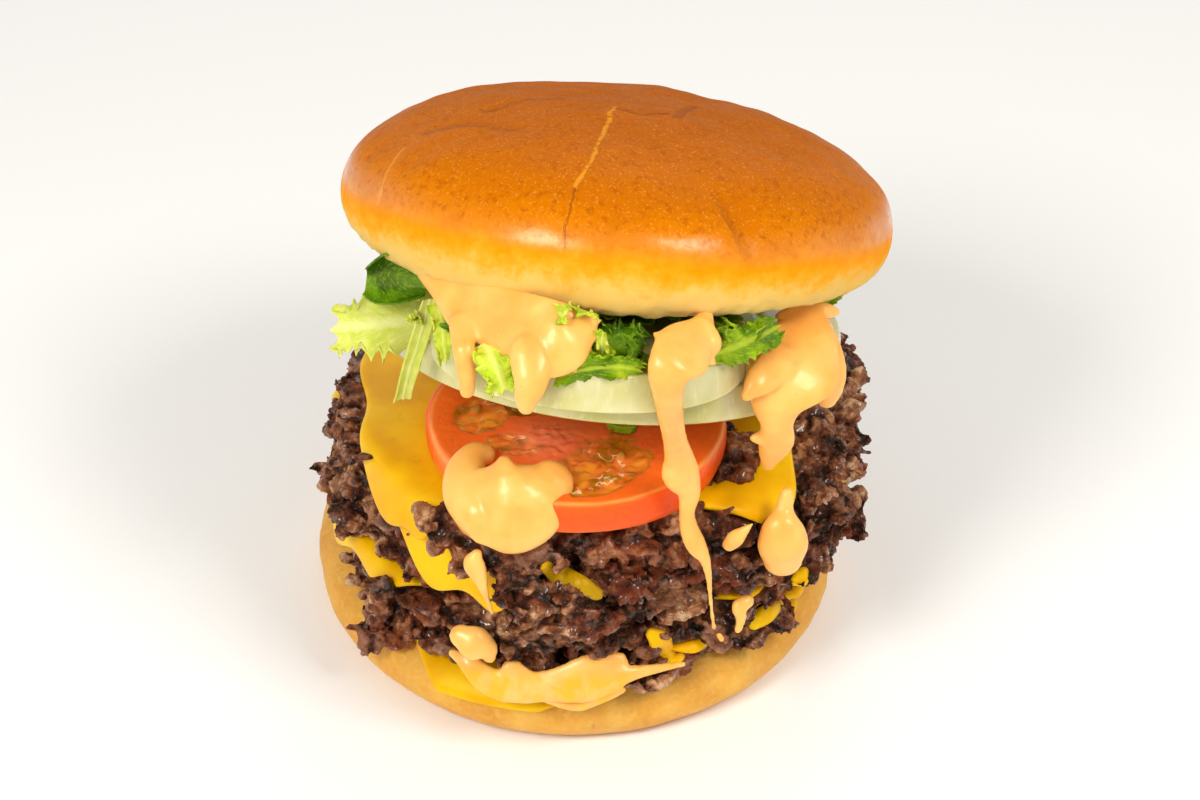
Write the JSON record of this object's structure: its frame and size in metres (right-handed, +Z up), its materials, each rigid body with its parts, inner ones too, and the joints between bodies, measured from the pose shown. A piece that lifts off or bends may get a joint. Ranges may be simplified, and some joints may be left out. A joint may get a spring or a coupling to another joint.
{
  "type": "five-patty burger",
  "caption": "Tall stacked burger: ragged smashed beef patties and melted cheese under tomato, onion, lettuce, dripping sauce and a domed bun.",
  "frame": {"origin": "centre of the flat underside of the bun heel, on the surface it stands on", "axes": "+Z up through the pile; -Y towards the front, where the crown opens and the sauce drips; +X to the right seen from the front"},
  "size_m": [0.1204, 0.1286, 0.135],
  "materials": {
    "crown_crust": "glossy golden-brown baked crust, pale at its lower rim",
    "heel_crumb": "smooth pale golden bun skin",
    "beef": "dark, crumbly, greasy seared beef",
    "cheese": "satin melted processed cheese",
    "tomato": "wet cut tomato flesh",
    "onion": "moist translucent white onion",
    "lettuce_pale": "pale yellow-green leaf",
    "lettuce_green": "fresh green leaf",
    "sauce": "glossy thick sauce",
    "pickle": "wet dark green pickle"
  },
  "bodies": {
    "root": {"cheese_0": "cheese", "cheese_1": "cheese", "cheese_2": "cheese", "cheese_3": "cheese", "cheese_4": "cheese", "cheese_5": "cheese", "crown": "crown_crust", "heel": "heel_crumb", "leaf_bed_high": "lettuce_green", "leaf_bed_low": "lettuce_green", "leaf_curl": "lettuce_green", "leaf_far_right": "lettuce_green", "leaf_frill_front": "lettuce_green", "leaf_frill_left": "lettuce_pale", "leaf_left": "lettuce_pale", "leaf_middle": "lettuce_green", "leaf_middle_fold": "lettuce_green", "leaf_right": "lettuce_green", "leaf_stem": "lettuce_pale", "onion_lower": "onion", "onion_upper": "onion", "patty_1": "beef", "patty_2": "beef", "patty_3": "beef", "patty_4": "beef", "patty_5": "beef", "pickle_chip": "pickle", "sauce_base": "sauce", "sauce_centre": "sauce", "sauce_drip_left": "sauce", "sauce_drip_right": "sauce", "sauce_left": "sauce", "sauce_low_left": "sauce", "sauce_right": "sauce", "sauce_spot_right": "sauce", "sauce_tomato": "sauce", "tomato_slice": "tomato"}
  },
  "joints": []
}
